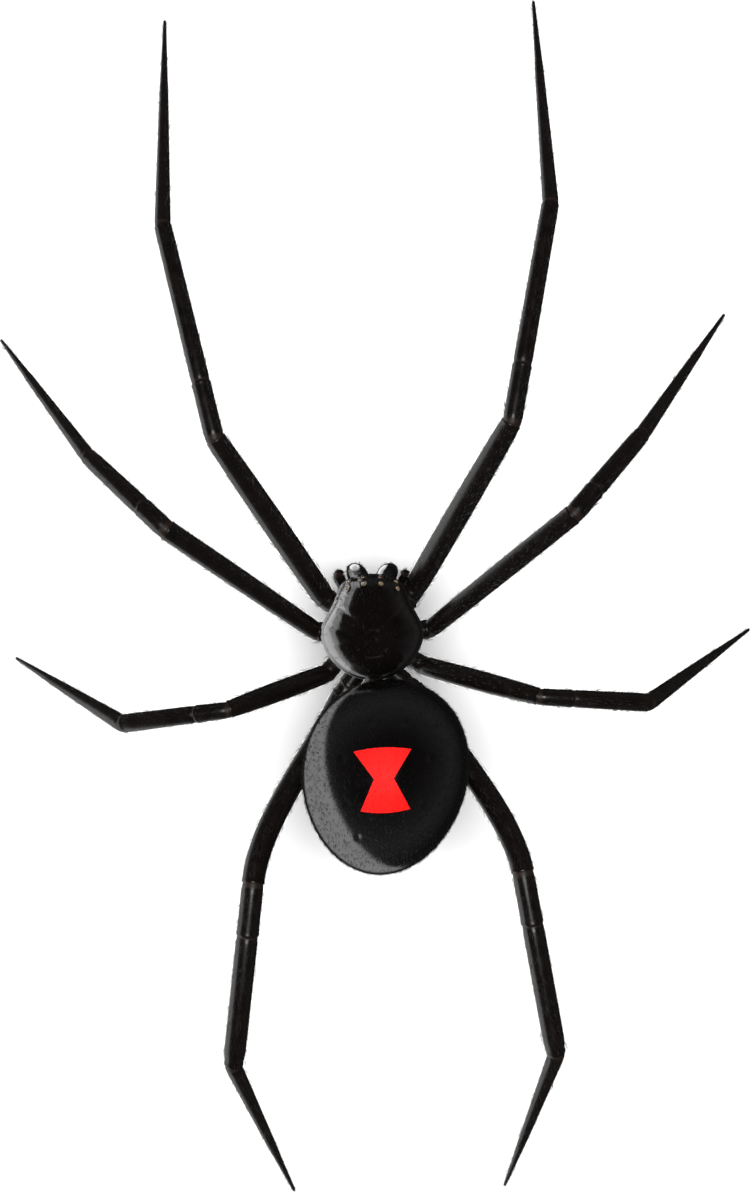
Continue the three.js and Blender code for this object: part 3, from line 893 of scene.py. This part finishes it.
def make_spinnerets(looks, rng):
    """Three pairs of spinnerets on a folded mound, the small tongue before them and the knob behind."""
    place = unit((0, 0.78, -0.62))
    out = unit((0, 0.5, -0.87))
    base = abdomen_points(place[None])[0]
    across = np.array((1.0, 0.0, 0.0))
    forward = np.cross(out, across)
    mound = Limb(base - 0.3 * out, base + 0.13 * out, taper(0.6, 0.44), reference=across)
    rows = [(-0.05, 0.0, 0.0)]
    for s in np.linspace(0, mound.length, 16):
        rows.append((s, float(mound.radius_at(s / mound.length)) + 0.012 * math.sin(s * 60), 0.0))
    rows.append((mound.length + 0.04, 0.3, 0.0))
    rows.append((mound.length + 0.05, 0.0, 0.0))
    parts = [mound.skin(rows, 48)]
    cones = []
    # Angle round the mound, distance from its middle, radius and length of each of three kinds.
    for angle, ring, radius, length in ((0.62, 0.25, 0.19, 0.42), (2.3, 0.27, 0.18, 0.42), (1.57, 0.1, 0.1, 0.3)):
        for side in (1, -1):
            foot = base + ring * (side * math.sin(angle) * across + math.cos(angle) * forward)
            tip = foot + length * unit(out + 0.25 * unit(base - foot))
            knuckle = lerp(foot, tip, 0.62)
            lower = Limb(foot - 0.05 * out, knuckle, taper(radius, radius * 0.78), reference=across)
            upper = Limb(knuckle, tip, taper(radius * 0.7, radius * 0.45), reference=across)
            parts += chain_skins([lower, upper], 24, steps_per_mm=20)
            cones += [lower, upper]
    for shift, radius, length in ((0.42, 0.07, 0.22), (-0.42, 0.13, 0.26)):
        foot = base + shift * forward
        knob = Limb(foot - 0.05 * out, foot + length * out, taper(radius, radius * 0.6), reference=across)
        parts += chain_skins([knob], 24, steps_per_mm=20)
        cones.append(knob)
    piece("spinneret_group", fuse(parts), looks["leg"], ["spinnerets"], crease=50)
    roots = limb_roots(cones, 90, rng, (0.11, 0.011, 0.7))
    piece("spinneret_bristles", bristle_mesh("spinneret_bristles", roots), looks["bristle"])


def make_jaw(side_name, looks, rng):
    side = SIDES[side_name]
    top, bottom = (beside(JAW[end], side) for end in ("top", "bottom"))
    down = unit(bottom - top)
    front = np.array((0.0, -1.0, 0.0))
    jaw = Limb(top, bottom, swelling(*JAW["radii"]), lambda t: mid_bump(t)[:, None] * 0.06 * front, front)
    quarter = np.linspace(0, np.pi / 2, 9)
    first, last = JAW["radii"][0], JAW["radii"][2]
    rows = [(-first * np.cos(a), first * np.sin(a), 0.0) for a in quarter[:-1]]
    rows += [(s, float(jaw.radius_at(s / jaw.length)), 0.0) for s in np.linspace(0, jaw.length, 24)]
    rows += [(jaw.length + 0.4 * last * np.sin(a), last * np.cos(a) ** 0.7, 0.0) for a in quarter[1:-1]]
    rows.append((jaw.length + 0.4 * last, 0.0, 0.0))
    mesh = mesh_of("jaw", *jaw.skin(rows, 48))
    piece(f"jaw_{side_name}_shell", mesh, looks["shell"], [f"jaw_{side_name}"])
    roots = limb_roots([jaw], 40, rng, (0.15, 0.013, 0.8), start=0.3)
    mesh = bristle_mesh(f"jaw_{side_name}_bristles", roots)
    piece(f"jaw_{side_name}_bristles", mesh, looks["bristle"])

    inwards = np.array((-side, 0.0, 0.0))
    seat = bottom + down * last * 0.2
    tip = seat + down * FANG["length"] * 0.8 + inwards * FANG["length"] * 0.42
    curl = FANG["curl"]
    fang = Limb(seat, tip, lambda t: lerp(FANG["radius"], FANG["tip_radius"], t**0.8),
                lambda t: -mid_bump(t)[:, None] * curl * inwards, front)
    mesh = mesh_of("fang", *fang.skin(segment_rows(fang), 32))
    piece(f"fang_{side_name}_hook", mesh, looks["fang"], [f"fang_{side_name}"])


def make_palp(side_name, looks, rng):
    side = SIDES[side_name]
    places = [beside(place, side) for place in PALP_PLACES]
    r = PALP_RADII
    knee = lerp(places[1], places[2], 0.45)
    chain = [
        Limb(places[0], places[1], taper(r[0], r[1]), reference=UP),
        Limb(places[1], knee, taper(r[1], r[1] * 0.95), reference=np.array((0.0, -1.0, 0.0))),
        Limb(knee, places[2], taper(r[2], r[2]), reference=np.array((0.0, -1.0, 0.0))),
        Limb(places[2], places[3], taper(r[2] * 0.92, r[3]), reference=np.array((0.0, -1.0, 0.0))),
    ]
    mesh = fuse(chain_skins(chain, 32, steps_per_mm=16))
    soften_joints(mesh, chain)
    piece(f"palp_{side_name}_skin", mesh, looks["leg"], [f"palp_{side_name}"], crease=50)
    roots = limb_roots(chain, 70, rng, (0.2, 0.013, 0.6))
    mesh = bristle_mesh(f"palp_{side_name}_bristles", roots)
    piece(f"palp_{side_name}_bristles", mesh, looks["bristle"])

    along, _, front = (axis[0] for axis in chain[-1].axes(np.array([chain[-1].length])))
    start = chain[-1].end + along * 0.06
    claw = Limb(start, start + along * 0.2, taper(0.035, 0.006), lambda t: 0.045 * mid_bump(t)[:, None] * front)
    mesh = mesh_of("claw", *claw.skin(segment_rows(claw), 16))
    piece(f"palp_{side_name}_claw", mesh, looks["fang"])


# Legs


def soften_joints(mesh, chain):
    """Marks a limb's skin as soft where it's the ball of a joint rather than a segment's shell."""
    points = np.empty(len(mesh.vertices) * 3)
    mesh.vertices.foreach_get("co", points)
    points = points.reshape(-1, 3)
    soft = np.zeros(len(points))
    for limb in chain:
        ball = BALL * float(limb.radius_at(0.0))
        away = np.linalg.norm(points - limb.start, axis=1)
        soft = np.maximum(soft, 1 - smoothstep(away, ball * 1.005, ball * 1.05))
    mesh.attributes.new("soft", "FLOAT", "POINT").data.foreach_set("value", soft)


def leg_chain(pair, root, hip, knee, ankle, toe):
    """The leg's seven limbs, from coxa to tarsus."""
    size = LEG_PAIRS[pair]
    root = np.array((*root, PROSOMA["centre"][2] - COXA_DROP))
    hip, knee, ankle = np.array(hip), np.array(knee), np.array(ankle)
    toe = np.array((*toe, TIP_RADIUS * 0.7))
    heel = lerp(ankle, toe, 1 - TARSUS_SHARE) + HEEL_RISE * UP
    side = np.sign(hip[0])
    ring = lerp(root, hip, TROCHANTER_SHARE)
    coxa = size["coxa"]

    def thigh_bend(t):
        arch = early_bump(t) if pair == 4 else mid_bump(t)
        return np.stack([side * size["bow"] * late_bump(t), 0 * t, size["arch"] * arch], -1)

    def shin_bend(t):
        return SHIN_ARCH * mid_bump(t)[:, None] * UP

    share = size["patella"]
    start, stop = size["tibia"]
    knee_cap = knee + share * (ankle - knee) + SHIN_ARCH * mid_bump(share) * UP
    shin_radius = taper(start, stop)
    return [
        Limb(root, ring, taper(coxa * 0.95, coxa * 1.04)),
        Limb(ring, hip, taper(coxa * 0.97, coxa * 0.95)),
        Limb(hip, knee, swelling(*size["femur"]), thigh_bend),
        Limb(knee, knee_cap, lambda t: shin_radius(t * share), lambda t: 0.12 * SHIN_ARCH * mid_bump(t)[:, None] * UP),
        Limb(knee_cap, ankle, lambda t: shin_radius(share + t * (1 - share)),
             lambda t: 0.6 * SHIN_ARCH * mid_bump(t)[:, None] * UP),
        Limb(ankle, heel, taper(*size["foot"])),
        Limb(heel, toe, taper(size["foot"][1] * 0.95, TIP_RADIUS)),
    ]


def make_claws(name, tarsus, looks):
    """Two curved claws side by side at a leg's tip, and a smaller one between them."""
    along, side, _ = (axis[0] for axis in tarsus.axes(np.array([tarsus.length])))
    tip = tarsus.end - along * 0.02
    parts = []
    for apart, length, radius in ((0.03, 0.14, 0.02), (-0.03, 0.14, 0.02), (0.0, 0.1, 0.016)):
        start = tip + side * apart
        end = start + along * length
        end[2] = 0.012
        claw = Limb(start, end, taper(radius, 0.006), lambda t: 0.03 * mid_bump(t)[:, None] * UP)
        parts += chain_skins([claw], 12, steps_per_mm=60)
    piece(f"leg_{name}_claws", fuse(parts), looks["fang"])


def comb_roots(tarsus, rng):
    """The comb of stout curved bristles under a rear foot."""
    count = 22
    share = np.linspace(0.05, 0.92, count)
    turn = -np.pi / 2 + np.where(np.arange(count) % 2, 0.45, -0.45)
    place, out = tarsus.surface(share * tarsus.length, tarsus.radius_at(share), turn)
    along, _, _ = tarsus.axes(share * tarsus.length)
    uv = np.stack([turn / (2 * np.pi) % 1, 0.9 + 0.09 * share], -1)
    return dress(place, out, along, uv, rng, (0.2, 0.022, 0.8))


def make_leg(name, leg, looks, rng):
    chain = leg_chain(*leg)
    mesh = fuse(chain_skins(chain, 32))
    soften_joints(mesh, chain)
    nodes = [f"leg_{name}_{part}" for part in ("coxa", "femur", "tibia", "metatarsus", "tarsus")]
    piece(f"leg_{name}_skin", mesh, looks["leg"], nodes, crease=50)
    roots = limb_roots(chain, 34, rng, (0.24, 0.014, 0.42))
    if leg[0] == 4:
        comb = comb_roots(chain[-1], rng)
        roots = {key: np.concatenate([roots[key], comb[key]]) for key in roots}
    mesh = bristle_mesh(f"leg_{name}_bristles", roots)
    piece(f"leg_{name}_bristles", mesh, looks["bristle"])
    make_claws(name, chain[-1], looks)
    # The abdomen's crescent stays whole where a leg would be mirrored in it.
    for part in ("skin", "bristles"):
        bpy.data.objects[f"leg_{name}_{part}"].visible_glossy = False


# Studio


def make_floor():
    size = 2.0
    mesh = mesh_of("floor", [(-size, -size, 0), (size, -size, 0), (size, size, 0), (-size, size, 0)], [[0, 1, 2, 3]])
    floor = bpy.data.objects.new("floor", mesh)
    mesh.materials.append(floor_look())
    bpy.context.scene.collection.objects.link(floor)
    floor.visible_glossy = False


# The middle of the glow that the abdomen mirrors as a grey crescent on the picture's left.
GLOW_WAY = (0.695, 0.283, -0.661)


def make_world():
    """White to the camera. To the gloss: black overhead, dim all round, a glow low on the picture's left."""
    world = bpy.data.worlds.new("studio")
    world.use_nodes = True
    bpy.context.scene.world = world
    nodes = Nodes(world.node_tree)
    way = nodes.add("ShaderNodeTexCoord").outputs["Generated"]
    height = nodes.add("ShaderNodeSeparateXYZ", {0: way}).outputs[2]
    towards = nodes.add("ShaderNodeVectorMath", {0: way, 1: GLOW_WAY}, operation="DOT_PRODUCT").outputs["Value"]
    fade = nodes.through(height, ((-0.87, 0.0), (-0.8, 1.0), (0.2, 4.0)))
    glow = nodes.math("MULTIPLY", nodes.span(towards, 0.545, 0.585), fade)
    around = nodes.through(height, ((-0.6, 0.02), (0.0, 0.2), (0.45, 0.1), (0.8, 0.0)))
    seen = nodes.add("ShaderNodeLightPath").outputs["Is Camera Ray"]
    background = nodes.tree.nodes["Background"].inputs
    nodes.set(background["Color"], (1, 1, 1, 1))
    nodes.set(background["Strength"], nodes.math("MAXIMUM", nodes.math("ADD", glow, around), seen))


def make_light(name, kind, place, aim, energy, only_on=(), **settings):
    """A light that the camera doesn't see, on the whole scene or only in the gloss of the pieces named."""
    data = bpy.data.lights.new(name, kind)
    data.energy = energy
    for key, value in settings.items():
        setattr(data, key, value)
    light = bpy.data.objects.new(name, data)
    light.location = Vector(place) * MM
    way = Vector(aim) * MM - light.location
    light.rotation_euler = way.to_track_quat("-Z", "Y").to_euler()
    light.visible_camera = False
    bpy.context.scene.collection.objects.link(light)
    if only_on:
        lit = bpy.data.collections.new(name)
        for piece_name in only_on:
            lit.objects.link(bpy.data.objects[piece_name])
        light.light_linking.receiver_collection = lit
        light.light_linking.blocker_collection = lit
        light.visible_diffuse = False
    return light


def make_lights():
    # Brightens the floor and the red marks, but isn't mirrored in the black.
    sky = make_light("sky", "SUN", (0, 0, 500), (0, 0, 0), 6.0, angle=math.radians(75))
    sky.visible_glossy = False
    # Mirrored as a grey crescent in the head's side.
    head = ("cephalothorax_shell", "jaw_left_shell", "jaw_right_shell")
    card = {"shape": "RECTANGLE", "size": 0.052, "size_y": 0.016}
    make_light("card", "AREA", (13, 1, 3), (0, 1, 3), 0.0095, head, **card)
    # A small lamp overhead shines on slopes seen from the side. From above it's only mirrored in the red mark.
    make_light("lamp", "SUN", (0, 45, 300), (0, 0, 0), 0.4, ("abdomen_skin",), angle=math.radians(16))
    # A wider one does the same for the legs, which are nowhere level enough to mirror it upwards.
    legs = [f"leg_{name}_skin" for name in LEGS]
    make_light("sky_light", "SUN", (0, 0, 300), (0, 0, 0), 2.0, legs, angle=math.radians(24))
    # Light from below on the legs' and the body's undersides, like that from a pale table.
    make_light("table", "SUN", (0, 0, -300), (0, 0, 0), 3.0, legs, angle=math.radians(44))
    under = {"shape": "ELLIPSE", "size": 0.005, "size_y": 0.006}
    make_light("under", "AREA", (-0.38, 6.8, 0.05), (-0.38, 6.8, 5), 0.00014, ("abdomen_skin",), **under)
    # White glints on the jaws, whose fronts face the camera so steeply that they mirror what lies below.
    jaws = ("jaw_left_shell", "jaw_right_shell")
    make_light("jaw_glint", "AREA", (4, -10, -7), (0.5, -1, 2.6), 0.0011, jaws, shape="DISK", size=0.010)
    # Glints in the eyes.
    lenses = [f"{name}_lens" for name in eye_balls()]
    make_light("glint", "AREA", (50, -110, 90), (0, 0, 3), 0.15, lenses, shape="DISK", size=0.08)


def make_studio():
    bpy.context.scene.view_settings.view_transform = "Standard"
    make_world()
    make_lights()
    make_floor()


def make_spider():
    looks = {
        "shell": shell_look(),
        "abdomen": abdomen_look(),
        "leg": leg_look(),
        "bristle": bristle_look("bristle", False),
        "marked_bristle": bristle_look("abdomen_bristle", True),
        "eye_dark": eye_look("eye_dark", (0.010, 0.004, 0.002, 1), (0.03, 0.012, 0.005, 1)),
        "eye_pale": eye_look("eye_pale", (0.05, 0.03, 0.015, 1), (0.16, 0.12, 0.08, 1)),
        "fang": fang_look(),
    }
    rng = np.random.default_rng(7)
    make_cephalothorax(looks, rng)
    make_abdomen(looks, rng)
    make_waist(looks)
    make_spinnerets(looks, rng)
    for side in SIDES:
        make_jaw(side, looks, rng)
        make_palp(side, looks, rng)
    for name, leg in LEGS.items():
        make_leg(name, leg, looks, rng)


make_camera()
make_spider()
make_studio()
